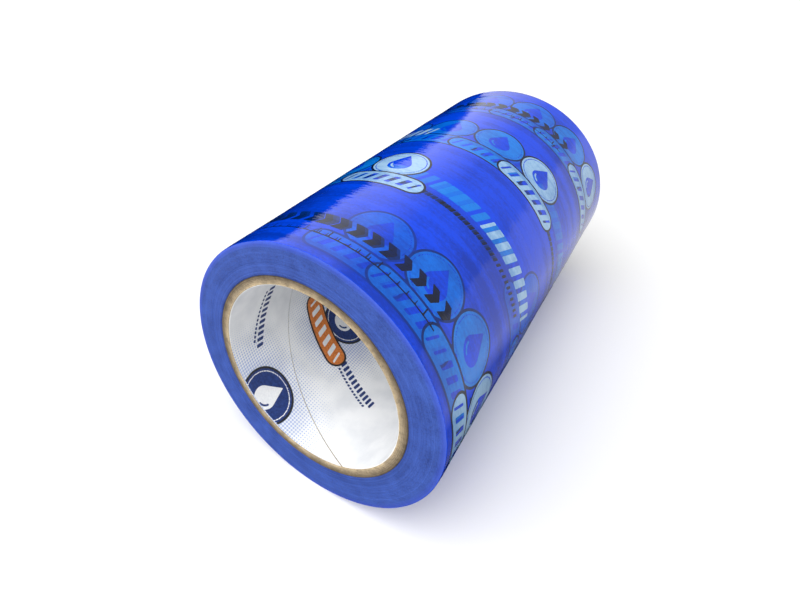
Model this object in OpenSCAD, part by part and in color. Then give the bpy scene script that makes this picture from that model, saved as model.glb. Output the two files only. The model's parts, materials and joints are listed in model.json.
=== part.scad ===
// Wide roll of masking tape, lying on its side: a spiral-wound paperboard core,
// the wound turns of tape, the outermost turn, and a free tail that peels off.
// The roll's axis runs along Y and the origin is on the floor under its middle.

/* [Roll] */
// Outer diameter of the full roll
roll_d = 110; // [95:1:160]
// Width of the tape, and so of the whole roll
tape_w = 203.2; // [25:0.2:305]
// Thickness of one turn of tape, film and adhesive together
tape_t = 0.15; // [0.1:0.01:0.3]

/* [Core] */
// Bore of the core
bore_d = 76.2; // [50:0.1:80]
// Thickness of the printed paper liner that faces the bore
liner_t = 0.3; // [0.2:0.05:0.5]
// Thickness of each kraft board ply
board_t = 0.62; // [0.4:0.01:0.7]
// Thickness of the smooth top ply that the tape is wound on
top_ply_t = 0.3; // [0.2:0.05:0.5]

/* [Tail] */
// Angle of the peel line, measured from straight up towards +X
peel_line = -44; // [-60:1:-20]
// Length of arc that each bending length of the tail covers
link_arc = 8; // [4:1:9]
// Space left under the tail, so that it lifts without rubbing
tail_gap = 0.3; // [0.2:0.05:0.6]

/* [Hidden] */
$fn = 180;

PLIES = 5;
LINKS = 6;
CUT_T = 0.05;  // width of the slit between two lengths of the tail
OVER = 1;      // how far a cutter runs past the faces it cuts

roll_r = roll_d / 2;
bore_r = bore_d / 2;
plies_r = bore_r + liner_t;
top_ply_r = plies_r + PLIES * board_t;
core_r = top_ply_r + top_ply_t;
wound_r = roll_r - tape_t;
bed_r = wound_r - tail_gap;
tail_arc = LINKS * link_arc;
slit = CUT_T / roll_r * 180 / PI;

// Turns a shape drawn round +Z so that it lies along Y on the floor.
module lay_down() {
    translate([0, tape_w / 2, roll_r]) rotate([90, 0, 0]) children();
}

// A full ring of the roll's width.
module ring(inner_r, outer_r) {
    difference() {
        cylinder(h = tape_w, r = outer_r);
        translate([0, 0, -OVER]) cylinder(h = tape_w + 2 * OVER, r = inner_r);
    }
}

// Part of a ring that starts at angle start, from straight up towards +X, and
// covers the angle arc.
module ring_part(inner_r, outer_r, start, arc, past = 0) {
    rotate([0, 0, 90 - start - arc])
        rotate_extrude(angle = arc)
            translate([inner_r, -past]) square([outer_r - inner_r, tape_w + 2 * past]);
}

module core_liner() {
    color("whitesmoke") lay_down() ring(bore_r, plies_r);
}

module core_ply(n) {
    inner_r = plies_r + (n - 1) * board_t;
    color("burlywood") lay_down() ring(inner_r, inner_r + board_t);
}

module core_top_ply() {
    color("tan") lay_down() ring(top_ply_r, core_r);
}

// Every turn under the outermost one, with the shallow bed that the tail lies in.
module wound_turns() {
    color("royalblue") lay_down() difference() {
        ring(core_r, wound_r);
        ring_part(bed_r, roll_r + OVER, peel_line - tail_arc - slit, tail_arc + slit, OVER);
    }
}

// The outermost turn, from the peel line round to the bed's far end.
module outer_turn() {
    color("blue") lay_down()
        ring_part(wound_r, roll_r, peel_line, 360 - tail_arc - slit);
}

// Length n of the tail, counted from the peel line.
module tail(n) {
    color("mediumblue") lay_down()
        ring_part(wound_r, roll_r, peel_line - n * link_arc, link_arc - slit);
}

core_liner();
core_ply(1);  // core_ply_1
core_ply(2);  // core_ply_2
core_ply(3);  // core_ply_3
core_ply(4);  // core_ply_4
core_ply(5);  // core_ply_5
core_top_ply();
wound_turns();
outer_turn();
tail(1);  // tail_1
tail(2);  // tail_2
tail(3);  // tail_3
tail(4);  // tail_4
tail(5);  // tail_5
tail(6);  // tail_6
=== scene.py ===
"""Looks for a wide roll of masking tape: printed, glossy blue film on a spiral-wound paperboard core.

Places on the roll are given as angle (radians, from straight up towards +X), y and radius, or, for
what is printed, as millimetres along the web of tape and millimetres from the front end.
"""

import json
import math

import bpy
import numpy as np
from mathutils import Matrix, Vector


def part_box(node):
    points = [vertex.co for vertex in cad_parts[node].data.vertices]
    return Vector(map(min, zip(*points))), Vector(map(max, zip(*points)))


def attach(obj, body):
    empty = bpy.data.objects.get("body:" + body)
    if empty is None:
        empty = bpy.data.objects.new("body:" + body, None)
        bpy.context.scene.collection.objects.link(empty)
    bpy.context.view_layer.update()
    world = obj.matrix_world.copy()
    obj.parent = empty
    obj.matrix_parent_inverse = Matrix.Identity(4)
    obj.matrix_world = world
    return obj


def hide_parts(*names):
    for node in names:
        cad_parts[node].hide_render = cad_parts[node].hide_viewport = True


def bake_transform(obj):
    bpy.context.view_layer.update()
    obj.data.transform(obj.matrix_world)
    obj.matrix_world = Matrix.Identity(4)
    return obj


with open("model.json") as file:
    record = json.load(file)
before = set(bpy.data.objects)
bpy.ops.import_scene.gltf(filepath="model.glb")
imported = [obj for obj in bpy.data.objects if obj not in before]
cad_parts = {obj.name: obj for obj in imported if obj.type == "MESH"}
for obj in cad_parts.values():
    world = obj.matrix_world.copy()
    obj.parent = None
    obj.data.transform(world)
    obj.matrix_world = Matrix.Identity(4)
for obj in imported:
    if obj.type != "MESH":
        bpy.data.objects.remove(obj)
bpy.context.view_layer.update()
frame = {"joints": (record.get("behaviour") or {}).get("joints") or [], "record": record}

# ---------------------------------------------------------------- sizes, from the frame

MM = 0.001
bore = next(m for m in frame["record"]["mounts"] if m["name"] == "core_bore")
AXIS_Z = bore["pos_m"][2]
BORE_R = bore["dims"]["r_mm"] * MM
HALF_W = bore["dims"]["length_mm"] * MM / 2
FRONT = Vector((0, -HALF_W, AXIS_Z))  # the middle of the front end

hinges = [Vector(j["pos_m"]) for j in frame["joints"]]  # from the peel line to the tail's last bend
ROLL_R = math.hypot(hinges[0].x, hinges[0].z - AXIS_Z)
bend_angles = [math.atan2(h.x, h.z - AXIS_Z) for h in hinges]
LINK_ARC = bend_angles[0] - bend_angles[1]
TAIL_END = bend_angles[-1] - LINK_ARC  # the angle of the web's free end
PLIES = ["core_liner"] + [f"core_ply_{n}" for n in range(1, 6)] + ["core_top_ply"]


def outer_radius(node):
    low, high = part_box(node)
    return max(high.x - low.x, high.z - low.z) / 2


CORE_R = outer_radius("core_top_ply")
FILM_T = 0.12 * MM  # film and adhesive, as they look
LIFT = 0.02 * MM  # from one layer's face to the ink or film on it
BAND_ROOM = 0.08 * MM  # how far the skin lies inside the roll's radius, so that its bands stay within it
FACE_SETBACK = 0.5 * MM  # how far the rounded rim draws the outermost turn in
END_INSET = 0.12 * MM  # how far the cut ends of the board and the wound turns lie inside the roll's
LINER_INSET = 0.55 * MM  # the same for the liner's ends
SEAM_START = math.radians(153.2)  # where the liner's butt seam meets the front end
SEAM_PITCH = 125.3 * MM  # how far the seam advances in a turn
SEAM_GAP = 0.8 * MM

LINER_LEAN = math.atan(SEAM_PITCH / (2 * math.pi * BORE_R))
LINER_REPEAT = 57.0  # mm along the core from one set of liner prints to the next
LINER_BADGE = (222.0, 1.0)  # degrees round, and mm from the front end
LINER_LINES = [(183.6, 37.5), (266.0, 19.0)]
LINER_BADGE_SIZE = 0.92  # times the badge on the tape
LINER_BADGE_LEAN = 0.55 * LINER_LEAN
LINER_DOTS = 1.2 * MM  # from one halftone dot to the next
LINER_INK_LIFTS = {"white": 1.5, "navy": 1.8, "orange": 1.8, "black": 2.0}  # times LIFT
LINER_INK_CELL = 0.4  # mm, the grid that the liner's prints are cut from
END_MARGIN, SEAM_MARGIN = 0.8, 0.5  # mm that the liner's ink keeps from its ends and its seam
DEGREE_ROUND = math.radians(1) * BORE_R / MM  # mm round the bore in one degree
CUT_BY_LINER = (178, 160, 130)  # the core's cut edge, from its inner side
# painted shade: the cut edge next to the tape is darkened for the shadow in the gap between core and tape
CUT_PAINTED_SHADE_BY_TAPE = (92, 80, 64)
TOOTH_DEPTH = 0.45 * MM  # of the teeth that a blade leaves on the tail's end
INK_CELL = 0.42  # mm, the grid that a top print is cut from
DEEP_INK_CELL = 0.55  # mm, the same for the prints of the turns below
AMBIENT = (0.42, 0.14)  # strength of the soft light from the front and from the back

rng = np.random.default_rng(7)

# ---------------------------------------------------------------- shapes on the roll


def on_roll(angle, y, radius):
    """Points of the row frame, as an array with x, y, z last."""
    angle, y, radius = np.broadcast_arrays(angle, y, radius)
    return np.stack([radius * np.sin(angle), y, AXIS_Z + radius * np.cos(angle)], -1)


WAVES = [  # wavelength along the roll and height in mm, and waves round the roll
    (71, 0.05, 1), (37, 0.03, 2), (19, 0.014, 1), (11, 0.012, 3), (6.7, 0.007, 2), (4.9, 0.005, 4),
]
WAVE_STARTS = rng.uniform(0, 2 * math.pi, (len(WAVES), 2))


def skin(angle, y):
    """The outermost turn's outer radius: a cylinder with the soft bands that winding leaves."""
    height = 0
    for (length, size, round_it), (start, turn) in zip(WAVES, WAVE_STARTS):
        swell = 1 + 0.4 * np.sin(round_it * angle + turn)
        height = height + size * MM * np.sin(2 * math.pi * y / (length * MM) + start) * swell
    edge = np.clip((HALF_W - FACE_SETBACK - np.abs(y)) / (0.5 * MM), 0, 1)
    return ROLL_R - BAND_ROOM + height - FILM_T * (1 - edge) ** 2


def mesh_piece(name, points, faces, materials, face_slots=None, sharp=35):
    """A smooth-shaded object. Edges sharper than sharp degrees stay sharp, and 0 leaves none."""
    mesh = bpy.data.meshes.new(name)
    mesh.from_pydata(points.reshape(-1, 3).tolist(), [], faces)
    for material in materials:
        mesh.materials.append(material)
    mesh.polygons.foreach_set("use_smooth", np.ones(len(mesh.polygons), bool))
    if face_slots is not None:
        mesh.polygons.foreach_set("material_index", np.asarray(face_slots, np.int32))
    mesh.update()
    mesh.validate()
    if sharp:
        mesh.set_sharp_from_angle(angle=math.radians(sharp))
    piece = bpy.data.objects.new(name, mesh)
    bpy.context.scene.collection.objects.link(piece)
    return piece


def loft(name, angle, y, radius, closed, materials, slot_of=None, sharp=35):
    """A closed solid: row i of the arrays is one section, and the sections follow each other round
    the roll. A section is a closed loop, first along its outer side and then back along its inner."""
    angle, y, radius = np.broadcast_arrays(angle, y, radius)
    n, m = radius.shape
    i, j = np.meshgrid(np.arange(n if closed else n - 1), np.arange(m), indexing="ij")
    after_i, after_j = (i + 1) % n, (j + 1) % m
    corners = [i * m + j, after_i * m + j, after_i * m + after_j, i * m + after_j]
    faces = np.stack(corners, -1).reshape(-1, 4).tolist()
    slots = None if slot_of is None else list(np.broadcast_to(slot_of, (n, m))[i, j].ravel())
    if not closed:
        last = (n - 1) * m
        for k in range(m // 2 - 1):
            start_cap = [k, k + 1, m - 2 - k, m - 1 - k]
            faces.append(start_cap)
            faces.append([last + c for c in reversed(start_cap)])
            if slots is not None:
                slots += [slots[k]] * 2
    return mesh_piece(name, on_roll(angle, y, radius), faces, materials, slots, sharp)


def steps(start, end, size):
    """Evenly spaced values from start to end, at most size apart."""
    return np.linspace(start, end, int(math.ceil(abs(end - start) / size)) + 1)


def film_stations():
    """Places along the roll for a turn of film, close together at its two edges."""
    edge = HALF_W - FACE_SETBACK
    near = edge - 0.6 * MM * (1 - np.cos(np.linspace(0, math.pi / 2, 5)))
    return np.concatenate([-near, steps(-near[-1], near[-1], 1.3 * MM)[1:-1], near[::-1]])


def film_strip(name, start, end, step, materials, cut=0.0):
    """A stretch of the outermost turn from one angle to another: printed film outside, adhesive
    inside. A cut of more than 0 gives the start the small teeth that a blade leaves."""
    stations = film_stations()
    angle = steps(start, end, step)[:, None]
    y = np.concatenate([stations, stations[::-1]])[None, :]
    is_inner = np.arange(y.size)[None, :] >= len(stations)
    tooth = np.arange(len(stations)) % 2 * cut / ROLL_R
    near_start = np.clip(1 - (angle - start) * ROLL_R / (3 * MM), 0, 1)
    angle = angle + near_start * np.concatenate([tooth, tooth[::-1]])[None, :]
    radius = skin(angle, y) - np.where(is_inner, FILM_T, 0)
    return loft(name, angle, y, radius, False, materials, is_inner.astype(int), sharp=50)


# ---------------------------------------------------------------- outlines of what is printed
# Each is the signed distance in mm from its edge, negative inside. s runs the way the tape is
# read and t runs up from that line.


def disc(s, t, radius):
    return np.hypot(s, t) - radius


def bar(s, t, half_s, half_t, corner=0.0):
    ds, dt = np.abs(s) - half_s + corner, np.abs(t) - half_t + corner
    outside = np.hypot(np.maximum(ds, 0), np.maximum(dt, 0))
    return outside + np.minimum(np.maximum(ds, dt), 0) - corner


def repeat(s, pitch):
    return (s + pitch / 2) % pitch - pitch / 2


def both(*fields):
    return np.maximum.reduce(fields)


def any_of(*fields):
    return np.minimum.reduce(fields)


def line(field, width):
    return np.abs(field) - width / 2


def slanted_bars(s, t, half_length, half_t, pitch, width, slant=0.35):
    lean = s - slant * t
    return both(bar(repeat(lean, pitch), t, width / 2, half_t, 0.3), np.abs(lean) - half_length)


def chevrons(s, t, half_length, half_t, pitch, width):
    arrow = s + 0.6 * np.abs(t)
    return both(np.abs(repeat(arrow, pitch)) - width / 2, np.abs(t) - half_t, np.abs(arrow) - half_length)


def scale_line(s, t, half_length):
    """A thin line with ticks on it, every fifth one longer."""
    ticks = bar(repeat(s, 4), t - 1.1, 0.22, 1.1)
    long_ticks = bar(repeat(s, 20), t - 1.7, 0.3, 1.7)
    return both(any_of(bar(s, t, half_length, 0.3), ticks, long_ticks), np.abs(s) - half_length)


def drop(s, t, radius, height):
    """A drop of paint: a disc with a point above it."""
    lean = radius / height
    flank = np.abs(s) * math.sqrt(1 - lean**2) + (t - height) * lean
    return any_of(disc(s, t, radius), both(flank, radius * lean - t))


def badge(s, t):
    """A round sign with a drop of paint on it, over a bar with slanted stripes. Returns its parts."""
    from_disc, from_bar, from_drop = t - 5, t + 11.5, t - 3.5
    body_disc = disc(s, from_disc, radius=12.5)
    body_bar = bar(s, from_bar, half_s=19, half_t=5.6, corner=5.4)
    glint = both(line(disc(s, from_drop, 3.4), 0.9), s + 0.8, t - 4.0)
    stripes = slanted_bars(s, from_bar, half_length=15.5, half_t=3.1, pitch=5.2, width=2.5, slant=0.45)
    return {
        "disc": both(body_disc, -body_bar),
        "bar": body_bar,
        "icon": both(drop(s, from_drop, radius=5.2, height=10.5), -glint),
        "stripes": both(stripes, body_bar + 1.2),
        "outline": any_of(both(line(body_disc, 1.0), -body_bar), line(body_bar, 1.0)),
        "inner_ring": both(line(disc(s, from_disc, 10.9), 0.45), -body_bar),
    }


# ---------------------------------------------------------------- the tape's print

PITCH = 160.3  # length of web in which the print repeats
TURN_SHIFT = 25.0  # how much further along the print each turn below is
BADGES = [(176.9, 21.5), (80.7, 73.0), (130.7, 124.5), (155.7, 175.0)]  # along the web, from the front
WHITE_BARS = [(147.4, 71.0), (52.4, 122.5)]
BLACK_CHEVRONS = [(109.9, 21.5), (103.2, 173.0)]
SCALE_LINES = [(109.9, 12.0), (103.2, 163.0)]
SMALL_BARS = [(134.9, 61.5), (40.0, 111.0)]


def tape_print(along, across):
    """Signed distances of the white ink and of the black ink."""
    white, black = [], []
    for at, up in BADGES:
        parts = badge(repeat(along - at, PITCH), across - up)
        solid = any_of(parts["disc"], parts["bar"])
        white.append(both(solid, -parts["icon"], -parts["stripes"], -parts["outline"], -parts["inner_ring"]))
        black.append(parts["outline"])
    for at, up in WHITE_BARS:
        s, t = repeat(along - at, PITCH), across - up
        white.append(slanted_bars(s, t, half_length=21.5, half_t=4.6, pitch=5.4, width=3.3))
    for at, up in BLACK_CHEVRONS:
        s, t = repeat(along - at, PITCH), across - up
        black.append(chevrons(s, t, half_length=31, half_t=3.6, pitch=6.6, width=3.4))
    for at, up in SCALE_LINES:
        s, t = repeat(along - at, PITCH), across - up
        black.append(scale_line(s, t, half_length=26))
    for at, up in SMALL_BARS:
        s, t = repeat(along - at, PITCH), across - up
        black.append(slanted_bars(s, t, half_length=28, half_t=1.5, pitch=2.4, width=1.2))
    return any_of(*white), any_of(*black)


def sheet_over(field, u, v):
    """The part of a grid where field is negative, cut along its true edge: points (u, v) and faces."""
    n, m = field.shape
    inside = field < 0
    corner = np.arange(n * m).reshape(n, m)
    points = [np.stack(np.meshgrid(u, v, indexing="ij"), -1).reshape(-1, 2)]

    def crossing(first, second):
        change = np.where(np.sign(first) == np.sign(second), 1.0, first - second)
        return np.clip(first / change, 0.03, 0.97)

    share = crossing(field[:-1], field[1:])
    at_u = u[:-1, None] + share * np.diff(u)[:, None]
    points.append(np.stack([at_u, np.broadcast_to(v, at_u.shape)], -1).reshape(-1, 2))
    along_u = n * m + np.arange((n - 1) * m).reshape(n - 1, m)
    share = crossing(field[:, :-1], field[:, 1:])
    at_v = v[None, :-1] + share * np.diff(v)[None, :]
    points.append(np.stack([np.broadcast_to(u[:, None], at_v.shape), at_v], -1).reshape(-1, 2))
    along_v = n * m + (n - 1) * m + np.arange(n * (m - 1)).reshape(n, m - 1)

    corners = [corner[:-1, :-1], corner[1:, :-1], corner[1:, 1:], corner[:-1, 1:]]
    edges = [along_u[:, :-1], along_v[1:], along_u[:, 1:], along_v[:-1]]
    ins = [inside[:-1, :-1], inside[1:, :-1], inside[1:, 1:], inside[:-1, 1:]]
    case = sum(x.astype(int) << k for k, x in enumerate(ins))
    faces = []
    for c in range(1, 16):
        outline = []
        for k in range(4):
            here, there = c >> k & 1, c >> (k + 1) % 4 & 1
            outline += [corners[k]] * here + [edges[k]] * (here != there)
        chosen = case == c
        faces.append(np.stack([ids[chosen] for ids in outline], -1))
    used = np.unique(np.concatenate([f.ravel() for f in faces]))
    renumber = np.full(used.max(initial=-1) + 1, -1)
    renumber[used] = np.arange(len(used))
    return np.concatenate(points)[used], [row for f in faces for row in renumber[f].tolist()]


def tape_ink(name, field, start, end, size, radius_of, material):
    """Ink on the outermost turn or below it, between two angles."""
    along = steps((start - TAIL_END) * ROLL_R / MM, (end - TAIL_END) * ROLL_R / MM, size)
    across = steps(0, 2 * HALF_W / MM, size)
    u, v = np.meshgrid(along, across, indexing="ij")
    flat, faces = sheet_over(field(u, v), along, across)
    if not faces:
        return None
    angle = TAIL_END + flat[:, 0] * MM / ROLL_R
    y = -HALF_W + flat[:, 1] * MM
    return mesh_piece(name, on_roll(angle, y, radius_of(angle, y)), faces, [material], sharp=0)


# ---------------------------------------------------------------- materials


def srgb(*values):
    """A linear colour from values 0 to 255 as a screen shows them."""
    return tuple(((v / 255 + 0.055) / 1.055) ** 2.4 if v > 10 else v / 255 / 12.92 for v in values) + (1.0,)


class Nodes:
    """Short ways to add nodes to a node tree."""

    def add(self, kind, inputs=(), **settings):
        made = self.tree.nodes.new(kind)
        for key, value in settings.items():
            setattr(made, key, value)
        for key, value in dict(inputs).items():
            self.feed(made.inputs[key], value)
        return made

    def feed(self, socket, value):
        if isinstance(value, bpy.types.NodeSocket):
            self.tree.links.new(value, socket)
        else:
            socket.default_value = value

    def maths(self, operation, a, b=0.0, clamp=False):
        return self.add("ShaderNodeMath", {0: a, 1: b}, operation=operation, use_clamp=clamp).outputs[0]

    def wrapped(self, value, half):
        """The value brought between -half and half by whole periods."""
        return self.add("ShaderNodeMath", {0: value, 1: half, 2: -half}, operation="WRAP").outputs[0]

    def scaled(self, scale, source=None):
        inputs = {0: source or self.place, 1: scale}
        return self.add("ShaderNodeVectorMath", inputs, operation="MULTIPLY").outputs[0]

    def noise(self, vector, detail=2.0, roughness=0.5):
        inputs = {"Vector": vector, "Scale": 1.0, "Detail": detail, "Roughness": roughness}
        return self.add("ShaderNodeTexNoise", inputs).outputs["Fac"]

    def ranged(self, value, low, high, to_low=0.0, to_high=1.0):
        inputs = {"Value": value, "From Min": low, "From Max": high, "To Min": to_low, "To Max": to_high}
        return self.add("ShaderNodeMapRange", inputs).outputs["Result"]

    def mixed(self, share, first, second):
        made = self.add("ShaderNodeMix", data_type="RGBA")
        self.feed(made.inputs[0], share)
        self.feed(made.inputs[6], first)
        self.feed(made.inputs[7], second)
        return made.outputs[2]

    def bump(self, height, distance, normal=None):
        inputs = {"Height": height, "Distance": distance, "Strength": 1.0}
        if normal is not None:
            inputs["Normal"] = normal
        return self.add("ShaderNodeBump", inputs).outputs["Normal"]


class Shader(Nodes):
    """A material with one Principled shader."""

    def __init__(self, name, **settings):
        self.material = bpy.data.materials.new(name)
        self.material.use_nodes = True
        self.tree = self.material.node_tree
        self.main = self.tree.nodes["Principled BSDF"]
        self.use(**settings)
        self.place = self.add("ShaderNodeTexCoord").outputs["Object"]

    def use(self, **sockets):
        for socket, value in sockets.items():
            self.feed(self.main.inputs[socket.replace("_", " ")], value)
        return self.material


class Sky(Nodes):
    """The studio round the roll: plain white for the camera, soft light for what is matt, and for
    glossy rays only, the dark panel, bright window and pale table that the film mirrors."""

    # degrees over which one thing gives way to the next: above level, or round from +Y towards +X
    SILL = (9.1, 9.6)
    PANEL_TOP = (16.9, 17.3)
    PANEL_SIDES = (-26.2, -25.8), (-100, -104)

    def __init__(self):
        world = bpy.data.worlds.new("studio")
        bpy.context.scene.world = world
        world.use_nodes = True
        self.tree = world.node_tree
        direction = self.add("ShaderNodeTexCoord").outputs["Generated"]
        x, y, z = self.add("ShaderNodeSeparateXYZ", {0: direction}).outputs
        azimuth = self.maths("ARCTAN2", x, y)  # from the back, towards +X
        height = self.maths("ARCSINE", z)
        window = self.over(azimuth, -25, 2, 1.25, 0.42)
        window = self.maths("MINIMUM", window, self.over(azimuth, -150, -90, 0.4, 1.25))
        table = self.over(height, -38, -28, 0.14, 0.75)
        table = self.maths("MULTIPLY", table, self.over(azimuth, -25, -5, 1.4, 1.0))
        seen = self.between(self.over(height, *self.SILL), table, window)
        slant = self.maths("MULTIPLY", self.maths("MINIMUM", height, 0.0), 0.6)
        past_panel = self.over(self.maths("ADD", azimuth, slant), *self.PANEL_SIDES[0])
        past_panel = self.maths("MAXIMUM", past_panel, self.over(height, *self.PANEL_TOP))
        past_panel = self.maths("MAXIMUM", past_panel, self.over(azimuth, *self.PANEL_SIDES[1]))
        mirrored = self.maths("MULTIPLY", seen, past_panel)
        ambient = self.ranged(y, -0.7, 0.7, AMBIENT[0], AMBIENT[1])
        rays = self.add("ShaderNodeLightPath").outputs
        strength = self.between(rays["Is Glossy Ray"], ambient, mirrored)
        strength = self.between(rays["Is Camera Ray"], strength, 1.0)
        background = self.tree.nodes["Background"]
        background.inputs["Color"].default_value = (1, 1, 1, 1)
        self.feed(background.inputs["Strength"], strength)

    def between(self, share, first, second):
        return self.add("ShaderNodeMix", {0: share, 2: first, 3: second}).outputs[0]

    def over(self, angle, low, high, to_low=0.0, to_high=1.0):
        return self.ranged(angle, math.radians(low), math.radians(high), to_low, to_high)


def radius_from_axis(shader):
    """The distance from the roll's axis, in metres."""
    centred = shader.add(
        "ShaderNodeVectorMath", {0: shader.place, 1: (0, 0, -AXIS_Z)}, operation="ADD"
    ).outputs[0]
    flat = shader.scaled((1, 0, 1), centred)
    return shader.add("ShaderNodeVectorMath", {0: flat}, operation="LENGTH").outputs["Value"]


def film_surface(shader, colour, dark, rough=0.05):
    """Glossy film: fine wrinkles that run round the roll, faint bands, and the small pale specks
    and clouds where the turns don't quite touch."""
    wrinkles = shader.noise(shader.scaled((9, 520, 9)), detail=3, roughness=0.6)
    creases = shader.noise(shader.scaled((26, 150, 26)), detail=2)
    clouds = shader.noise(shader.scaled((32, 22, 32)), detail=3, roughness=0.55)
    bands = shader.noise(shader.scaled((3, 130, 3)), detail=2)
    specks = shader.noise(shader.scaled((620, 900, 620)), detail=3, roughness=0.7)
    share = shader.ranged(shader.maths("ADD", clouds, bands), 0.8, 1.15)
    share = shader.maths("ADD", share, shader.ranged(wrinkles, 0.35, 0.65, -0.15, 0.15))
    share = shader.maths("ADD", share, shader.ranged(specks, 0.35, 0.65, -0.3, 0.3), clamp=True)
    fine = shader.bump(wrinkles, 0.08 * MM)
    return shader.use(
        Base_Color=shader.mixed(share, dark, colour),
        Roughness=shader.ranged(clouds, 0.3, 0.7, rough - 0.02, rough + 0.03),
        Normal=shader.bump(creases, 0.05 * MM, normal=fine),
    )


def make_film():
    return film_surface(Shader("film"), srgb(3, 66, 218), srgb(3, 50, 168))


def make_clear_film():
    """The lifted tail: the same film with nothing behind it, so it is half see-through."""
    return film_surface(Shader("clear_film", Alpha=0.6), srgb(6, 68, 228), srgb(5, 54, 190))


def make_adhesive():
    shader = Shader("adhesive", Alpha=0.5, Roughness=0.35)
    grain = shader.noise(shader.scaled((900, 900, 900)), detail=2)
    blotches = shader.noise(shader.scaled((60, 60, 60)), detail=3)
    return shader.use(
        Base_Color=shader.mixed(blotches, srgb(52, 96, 226), srgb(78, 120, 236)),
        Normal=shader.bump(grain, 0.02 * MM),
    )


def make_ink(name, colour, dark):
    return film_surface(Shader(name), colour, dark, rough=0.06)


def make_wound_ends():
    """The cut edges of all the turns: fine rings, grain, flecks that gather near the core, and a painted
    highlight along the outer rim.
    """
    shader = Shader("wound_ends", Roughness=0.5)
    radius = radius_from_axis(shader)
    rings = shader.add("ShaderNodeTexNoise", {"W": radius, "Scale": 2600.0}, noise_dimensions="1D")
    broad = shader.add("ShaderNodeTexNoise", {"W": radius, "Scale": 420.0}, noise_dimensions="1D")
    grain = shader.noise(shader.scaled((1500, 1500, 1500)), detail=3, roughness=0.7)
    blotches = shader.noise(shader.scaled((170, 170, 170)), detail=3)
    near_core = shader.ranged(radius, CORE_R + 6 * MM, CORE_R, 0.0, 1.0)
    flecks = shader.ranged(shader.maths("ADD", grain, shader.maths("MULTIPLY", near_core, 0.05)), 0.62, 0.7)
    # painted highlight: a paler violet-blue band along the rounded outer rim, where it catches the light
    painted_rim_highlight = shader.ranged(radius, ROLL_R - 2.6 * MM, ROLL_R - 0.3 * MM)
    tone = shader.maths("MULTIPLY", shader.maths("ADD", broad.outputs["Fac"], blotches), 0.35)
    tone = shader.maths("ADD", tone, shader.maths("MULTIPLY", grain, 0.6))
    body = shader.mixed(shader.ranged(tone, 0.45, 0.85), srgb(16, 42, 108), srgb(54, 88, 176))
    ringed = shader.mixed(shader.ranged(rings.outputs["Fac"], 0.35, 0.75, 0.0, 0.35), body, srgb(20, 44, 112))
    with_painted_rim_highlight = shader.mixed(shader.maths("MULTIPLY", painted_rim_highlight, 0.55), ringed, srgb(56, 84, 206))
    height = shader.maths("MULTIPLY", rings.outputs["Fac"], 0.6)
    height = shader.maths("ADD", height, shader.maths("MULTIPLY", grain, 0.8))
    return shader.use(
        Base_Color=shader.mixed(shader.maths("MULTIPLY", flecks, 0.55), with_painted_rim_highlight, srgb(14, 42, 84)),
        Roughness=shader.ranged(grain, 0.3, 0.7, 0.42, 0.62),
        Normal=shader.bump(height, 0.06 * MM),
    )


def make_board(name, light, dark):
    """Paperboard: short fibres that run round the core, dark flecks, and a soft uneven cut."""
    shader = Shader(name, Roughness=0.85)
    fibres = shader.noise(shader.scaled((700, 2200, 700)), detail=4, roughness=0.7)
    flecks = shader.noise(shader.scaled((1900, 1900, 1900)), detail=2)
    blotches = shader.noise(shader.scaled((260, 260, 260)), detail=2)
    body = shader.mixed(shader.ranged(shader.maths("ADD", fibres, blotches), 0.8, 1.2), dark, light)
    return shader.use(
        Base_Color=shader.mixed(shader.ranged(flecks, 0.62, 0.72, 0, 0.6), body, srgb(92, 66, 36)),
        Normal=shader.bump(shader.maths("ADD", fibres, flecks), 0.05 * MM),
    )


def make_liner_paper():
    """White paper with fields of pale blue halftone dots that fade in and out."""
    shader = Shader("liner_paper", Roughness=0.62)
    parts = shader.add("ShaderNodeSeparateXYZ", {0: shader.place})
    up = shader.maths("SUBTRACT", parts.outputs["Z"], AXIS_Z)
    angle = shader.maths("ARCTAN2", parts.outputs["X"], up)
    rows = round(2 * math.pi * BORE_R / LINER_DOTS)
    place = {
        "X": shader.maths("MULTIPLY", angle, rows / (2 * math.pi)),
        "Y": shader.maths("MULTIPLY", parts.outputs["Y"], 1 / LINER_DOTS),
    }
    grid = shader.add("ShaderNodeCombineXYZ", place).outputs[0]
    dots = shader.add("ShaderNodeTexVoronoi", {"Vector": grid, "Scale": 1.0, "Randomness": 0.0})
    around = shader.maths("SUBTRACT", angle, math.radians(LINER_BADGE[0] - 360))
    around = shader.maths("MULTIPLY", shader.wrapped(around, math.pi), BORE_R)
    along = shader.maths("ADD", parts.outputs["Y"], HALF_W - LINER_BADGE[1] * MM)
    along = shader.wrapped(along, LINER_REPEAT / 2 * MM)
    offset = shader.add("ShaderNodeCombineXYZ", {"X": around, "Y": along}).outputs[0]
    from_badge = shader.add("ShaderNodeVectorMath", {0: offset}, operation="LENGTH").outputs["Value"]
    size = shader.ranged(from_badge, 14 * MM, 36 * MM, 0.44, 0.0)
    dotted = shader.ranged(shader.maths("SUBTRACT", size, dots.outputs["Distance"]), -0.05, 0.05)
    fibres = shader.noise(shader.scaled((500, 500, 500)), detail=4, roughness=0.65)
    stains = shader.noise(shader.scaled((90, 90, 90)), detail=3)
    paper = shader.mixed(shader.ranged(stains, 0.4, 0.7), srgb(228, 229, 230), srgb(212, 214, 217))
    return shader.use(
        Base_Color=shader.mixed(shader.maths("MULTIPLY", dotted, 0.65), paper, srgb(112, 140, 202)),
        Roughness=shader.ranged(fibres, 0.3, 0.7, 0.5, 0.72),
        Normal=shader.bump(fibres, 0.012 * MM),
    )


def make_liner_ink(name, colour, dark):
    shader = Shader(name, Roughness=0.5)
    mottle = shader.noise(shader.scaled((1100, 1100, 1100)), detail=3, roughness=0.7)
    return shader.use(Base_Color=shader.mixed(shader.ranged(mottle, 0.35, 0.65), dark, colour))


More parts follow.
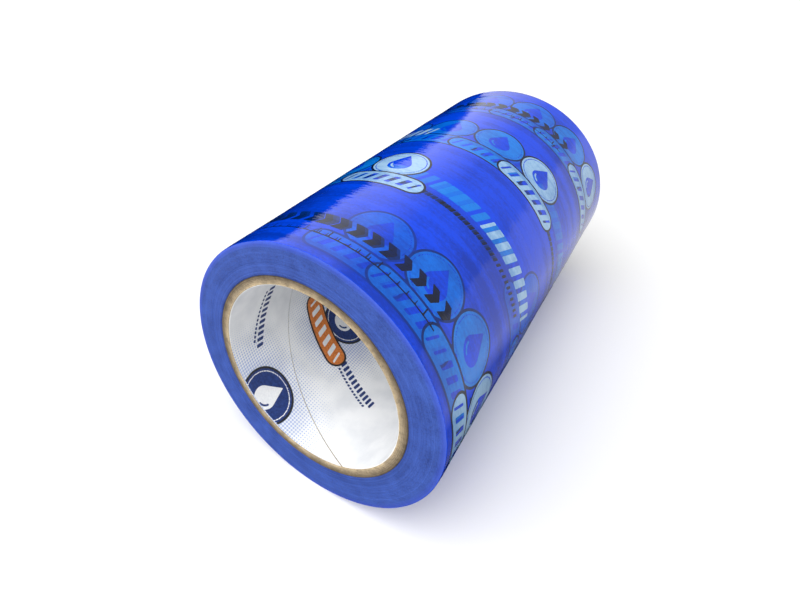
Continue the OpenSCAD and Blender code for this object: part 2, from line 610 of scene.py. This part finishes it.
film = make_film()
clear_film = make_clear_film()
adhesive = make_adhesive()
wound_ends = make_wound_ends()
white_ink = make_ink("white_ink", srgb(150, 186, 218), srgb(104, 150, 200))
black_ink = make_ink("black_ink", srgb(10, 20, 44), srgb(6, 26, 74))

# ---------------------------------------------------------------- the core


def make_core():
    """The board plies. Their cut edge is palest at the liner and darkens towards the tape: painted shade of
    the gap between core and tape, over the plies' colour.
    """
    # painted shade: the plies' colour darkens outwards, for the shadow line where the core meets the tape
    ply_tones_and_painted_shade = np.linspace(CUT_BY_LINER, CUT_PAINTED_SHADE_BY_TAPE, len(PLIES) - 1)
    inner = outer_radius("core_liner")
    for node, tone in zip(PLIES[1:], ply_tones_and_painted_shade):
        outer = outer_radius(node)
        material = make_board(node + "_board", srgb(*tone), srgb(*(0.78 * tone)))
        piece = core_ring(node + "_board", inner, outer, material)
        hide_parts(node)
        inner = outer


def core_ring(name, inner, outer, material):
    """One ply: a ring whose cut ends are slightly soft and uneven."""
    around = 300
    angle = np.arange(around)[:, None] * 2 * math.pi / around
    soft = 0.09 * MM
    mid = (inner + outer) / 2
    radii = np.array([outer, outer, outer - soft, mid, inner + soft, inner, inner])
    inset = np.array([3.0 * MM, soft, 0.02 * MM, 0, 0.02 * MM, soft, 3.0 * MM])
    radius = np.concatenate([radii, radii[::-1]])[None, :]
    low_end = END_INSET + rng.uniform(0, 0.14) * MM
    high_end = END_INSET + rng.uniform(0, 0.14) * MM
    rough = rng.normal(0, 0.03 * MM, (around, 14)) * (np.concatenate([inset, inset]) < MM)[None, :]
    y = np.concatenate([inset + low_end - HALF_W, HALF_W - high_end - inset[::-1]])[None, :] + rough
    order = np.r_[7:14, 0:7]
    piece = loft(name, angle, y[:, order], radius[:, order] + 0 * y, True, [material], sharp=60)
    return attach(piece, "roll")


def make_liner():
    """The printed paper strip: it is wound as a helix, and its two edges meet in a butt seam."""
    paper = make_liner_paper()
    outer = outer_radius("core_liner")
    edge = HALF_W - LINER_INSET
    stations = steps(-edge, edge, 1.2 * MM)
    gap = SEAM_GAP / BORE_R / 2
    y = np.concatenate([stations, stations[::-1]])[None, :]
    is_inner = np.arange(y.size)[None, :] >= len(stations)
    turn = np.linspace(gap, 2 * math.pi - gap, 181)[:, None]
    angle = seam_angle(y) + turn
    radius = np.where(is_inner, BORE_R, outer - 0.01 * MM)
    liner = loft("core_liner_paper", angle, y, radius, False, [paper], sharp=50)
    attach(liner, "roll")
    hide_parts("core_liner")


def seam_angle(y):
    return SEAM_START + (y + HALF_W) / SEAM_PITCH * 2 * math.pi


def liner_prints(degrees, across):
    """Signed distances of the liner's white, navy, orange and black inks."""
    fields = {"white": [], "navy": [], "orange": [], "black": []}

    def local(at, up):
        a, b = (degrees - at) * DEGREE_ROUND, across - up
        cos, sin = math.cos(LINER_BADGE_LEAN), math.sin(LINER_BADGE_LEAN)
        return a * cos + b * sin, b * cos - a * sin

    for k in range(-1, 4):
        s, t = local(LINER_BADGE[0], LINER_BADGE[1] + k * LINER_REPEAT)
        parts = badge(s / LINER_BADGE_SIZE, t / LINER_BADGE_SIZE)
        fields["white"].append(any_of(parts["disc"], parts["bar"]))
        fields["navy"].append(both(parts["disc"], -parts["icon"], -parts["inner_ring"], -parts["outline"]))
        fields["orange"].append(both(parts["bar"], -parts["stripes"], -parts["outline"]))
        fields["black"].append(parts["outline"])
        for at, up in LINER_LINES:
            a, b = (degrees - at) * DEGREE_ROUND, across - up - k * LINER_REPEAT
            s = a * math.cos(LINER_LEAN) + b * math.sin(LINER_LEAN)
            t = b * math.cos(LINER_LEAN) - a * math.sin(LINER_LEAN)
            upper = slanted_bars(s, t - 1.2, half_length=13.5, half_t=1.7, pitch=2.5, width=1.5)
            lower = both(bar(repeat(s, 1.8), t + 2.0, half_s=0.62, half_t=0.55), np.abs(s) - 12)
            fields["navy"] += [upper, lower]
    return {ink: any_of(*found) for ink, found in fields.items()}


def make_liner_inks():
    inks = {
        "white": make_liner_ink("liner_white", srgb(226, 227, 228), srgb(214, 216, 219)),
        "navy": make_liner_ink("liner_navy", srgb(36, 60, 122), srgb(22, 38, 86)),
        "orange": make_liner_ink("liner_orange", srgb(214, 128, 62), srgb(182, 98, 42)),
        "black": make_liner_ink("liner_black", srgb(40, 40, 44), srgb(24, 24, 28)),
    }
    width = 2 * HALF_W / MM
    degrees = steps(60, 420, LINER_INK_CELL / DEGREE_ROUND)
    across = steps(0.1, width - 0.1, LINER_INK_CELL)
    u, v = np.meshgrid(degrees, across, indexing="ij")
    from_seam = repeat(u - np.degrees(seam_angle(v * MM - HALF_W)), 360) * DEGREE_ROUND
    edges = any_of(v - END_MARGIN, width - END_MARGIN - v, np.abs(from_seam) - SEAM_MARGIN)
    for ink, field in liner_prints(u, v).items():
        flat, faces = sheet_over(both(field, -edges), degrees, across)
        faces = [f[::-1] for f in faces]
        angle, y = np.radians(flat[:, 0]), flat[:, 1] * MM - HALF_W
        points = on_roll(angle, y, BORE_R - LINER_INK_LIFTS[ink] * LIFT)
        piece = mesh_piece("liner_print_" + ink, points, faces, [inks[ink]], sharp=0)
        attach(piece, "roll")


# ---------------------------------------------------------------- the tape


def make_wound_turns():
    """All the turns under the outermost one: ringed ends with softly rounded rims, and a film side."""
    around = 360
    angle = np.arange(around)[:, None] * 2 * math.pi / around
    inner, outer = CORE_R + 0.06 * MM, ROLL_R - FILM_T - LIFT
    radii = steps(inner, outer - 0.05 * MM, 0.16 * MM)
    grain = rng.normal(0, 0.022 * MM, (2, len(radii)))
    swell = 0.05 * MM * np.sin(radii / (1.7 * MM)) + 0.04 * MM * np.sin(radii / (0.9 * MM) + 1)
    rim_width, lip_width, lip_depth = 2.2 * MM, 0.7 * MM, 0.3 * MM
    rim = FACE_SETBACK * np.clip((radii - (outer - rim_width)) / rim_width, 0, 1) ** 2
    lip = lip_depth * np.clip((inner + lip_width - radii) / lip_width, 0, 1) ** 2
    setback = END_INSET + rim + lip + swell * (1 - rim / FACE_SETBACK)
    wobble = 1 + 0.25 * np.sin(3 * angle + 1) + 0.2 * np.sin(5 * angle)
    front = -HALF_W + setback[None, :] + grain[0] * wobble
    back = HALF_W - setback[None, :] - grain[1] * wobble
    edge = HALF_W - FACE_SETBACK - 0.15 * MM
    side = steps(-edge, edge, 2 * MM)[None, :] + 0 * angle
    side_radius = skin(angle, side) - FILM_T - LIFT
    y = np.concatenate([front, side, back[:, ::-1]], 1)
    radius = np.concatenate([radii[None, :] + 0 * front, side_radius, radii[None, ::-1] + 0 * back], 1)
    is_side = np.zeros(y.shape[1], int)
    is_side[len(radii) - 1 : len(radii) + side.shape[1]] = 1
    turns = loft("wound_turns_film", angle, y, radius, True, [wound_ends, film], is_side[None, :], sharp=60)
    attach(turns, "roll")
    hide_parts("wound_turns")


def white_below(turns):
    return lambda u, v: tape_print(u + turns * TURN_SHIFT, v)[0]


def black_below(turns):
    return lambda u, v: tape_print(u + turns * TURN_SHIFT, v)[1]


def make_outer_turn():
    """The outermost full turn, with its own print and the prints that show through from below."""
    start, end = bend_angles[0], TAIL_END + 2 * math.pi
    turn = film_strip("outer_turn_film", start, end, math.radians(1.2), [film, adhesive])
    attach(turn, "roll")
    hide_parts("outer_turn")
    deep = [  # how the two inks look through one, two and three turns of film
        (srgb(10, 118, 214), srgb(6, 92, 186), srgb(3, 30, 78), srgb(4, 42, 112)),
        (srgb(6, 104, 212), srgb(4, 82, 182), srgb(3, 36, 100), srgb(4, 46, 130)),
        (srgb(4, 90, 212), srgb(4, 70, 180), srgb(3, 44, 130), srgb(4, 48, 150)),
    ]
    for turns in (3, 2, 1):
        light, light_dark, black, black_dark = deep[turns - 1]
        lift = (4 - turns) * LIFT / 4
        for kind, field, colours in (
            ("white", white_below(turns), (light, light_dark)),
            ("black", black_below(turns), (black, black_dark)),
        ):
            name = f"print_{kind}_{turns}_turns_down"
            extra = 0 if kind == "white" else LIFT / 8
            piece = tape_ink(
                name, field, start, end, DEEP_INK_CELL,
                lambda a, y, lift=lift + extra: skin(a, y) + lift, make_ink(name, *colours),
            )
            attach(piece, "roll")
    for kind, field, material, lift in (
        ("white", white_below(0), white_ink, LIFT * 1.1),
        ("black", black_below(0), black_ink, LIFT * 1.25),
    ):
        piece = tape_ink(
            f"print_{kind}", field, start, end, INK_CELL,
            lambda a, y, lift=lift: skin(a, y) + lift, material,
        )
        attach(piece, "roll")


def make_tail():
    """The free end of the web in stretches that each take in one hinge, from the middle of one
    length of the CAD tail to the middle of the next. All but the last stay where they are made;
    the last follows the tail's last length."""
    half = LINK_ARC / 2
    edges = [bend_angles[0]] + [a - half for a in bend_angles] + [TAIL_END]
    bodies = ["roll"] + [f"tail_{k}" for k in range(1, len(hinges) + 1)]
    for k, (start, end) in enumerate(zip(edges, edges[1:])):
        cut = TOOTH_DEPTH if k == len(hinges) else 0.0
        layers = [clear_film, adhesive]
        made = [film_strip(f"tail_film_{k + 1}", end, start, math.radians(0.5), layers, cut)]
        for kind, field, material, lift in (
            ("white", white_below(0), white_ink, LIFT),
            ("black", black_below(0), black_ink, LIFT * 1.2),
        ):
            made.append(
                tape_ink(
                    f"tail_print_{kind}_{k + 1}", field, end + cut / ROLL_R, start, INK_CELL,
                    lambda a, y, lift=lift: skin(a, y) + lift, material,
                )
            )
        for piece in filter(None, made):
            if k < len(hinges):
                where = [on_roll(angle, 0, ROLL_R).tolist() for angle in (start, end)]
                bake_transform(piece)
            else:
                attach(piece, bodies[-1])
        if k < len(hinges):
            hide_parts(f"tail_{k + 1}")
    for kind, field, material in (
        ("white", white_below(1), white_ink),
        ("black", black_below(1), black_ink),
    ):
        bed = tape_ink(
            f"print_{kind}_under_tail", field, TAIL_END, bend_angles[0], INK_CELL,
            lambda a, y: skin(a, y) - FILM_T - LIFT / 2, material,
        )
        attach(bed, "roll")


# ---------------------------------------------------------------- stage, light and camera

FLOOR_R = 4.0  # metres
FLOOR_SIDES = 64
CAMERA_AT = FRONT + Vector((92.8, -113.8, 153.6)) * MM
CAMERA_HEADING = math.radians(35.8)  # from +Y towards -X
CAMERA_DIP = math.radians(26.4)  # below level
LENS, SENSOR = 24.97, 36  # mm
SHIFT = (0.0889, -0.1524)  # of the picture's width


def make_stage():
    floor_material = Shader("studio_floor", Roughness=1.0, Specular_IOR_Level=0.0)
    floor_material.use(Base_Color=(0.8, 0.8, 0.8, 1))
    around = np.linspace(0, 2 * math.pi, FLOOR_SIDES + 1)[:-1]
    rim = np.array([(FLOOR_R * math.cos(a), FLOOR_R * math.sin(a), 0.0) for a in around])
    floor = mesh_piece("floor", rim, [list(range(FLOOR_SIDES))], [floor_material.material], sharp=0)
    floor.visible_glossy = False
    Sky()


def soft_sun(name, towards, strength, spread):
    """Even light from one direction, spread over so many degrees. Film doesn't mirror it."""
    data = bpy.data.lights.new(name, "SUN")
    data.energy, data.angle = strength, math.radians(spread)
    light = bpy.data.objects.new(name, data)
    light.location = towards
    light.rotation_euler = Vector(towards).to_track_quat("Z", "Y").to_euler()
    light.visible_glossy = False
    bpy.context.scene.collection.objects.link(light)


def make_lights():
    soft_sun("key", towards=(-0.15, -1.15, 1.3), strength=4.2, spread=75)
    soft_sun("top", towards=(0.3, 0.25, 1.5), strength=0.5, spread=50)
    soft_sun("left", towards=(-1.3, -0.5, 0.8), strength=0.3, spread=40)


def make_camera():
    data = bpy.data.cameras.new("camera")
    data.lens, data.sensor_width = LENS, SENSOR
    data.shift_x, data.shift_y = SHIFT
    data.clip_start = 0.005
    camera = bpy.data.objects.new("camera", data)
    camera.location = CAMERA_AT
    level = math.cos(CAMERA_DIP)
    ahead = -math.sin(CAMERA_HEADING) * level, math.cos(CAMERA_HEADING) * level, -math.sin(CAMERA_DIP)
    camera.rotation_euler = Vector(ahead).to_track_quat("-Z", "Y").to_euler()
    bpy.context.scene.collection.objects.link(camera)
    bpy.context.scene.camera = camera


bpy.context.scene.view_settings.view_transform = "Standard"
make_core()
make_liner()
make_liner_inks()
make_wound_turns()
make_outer_turn()
make_tail()
make_stage()
make_lights()
make_camera()
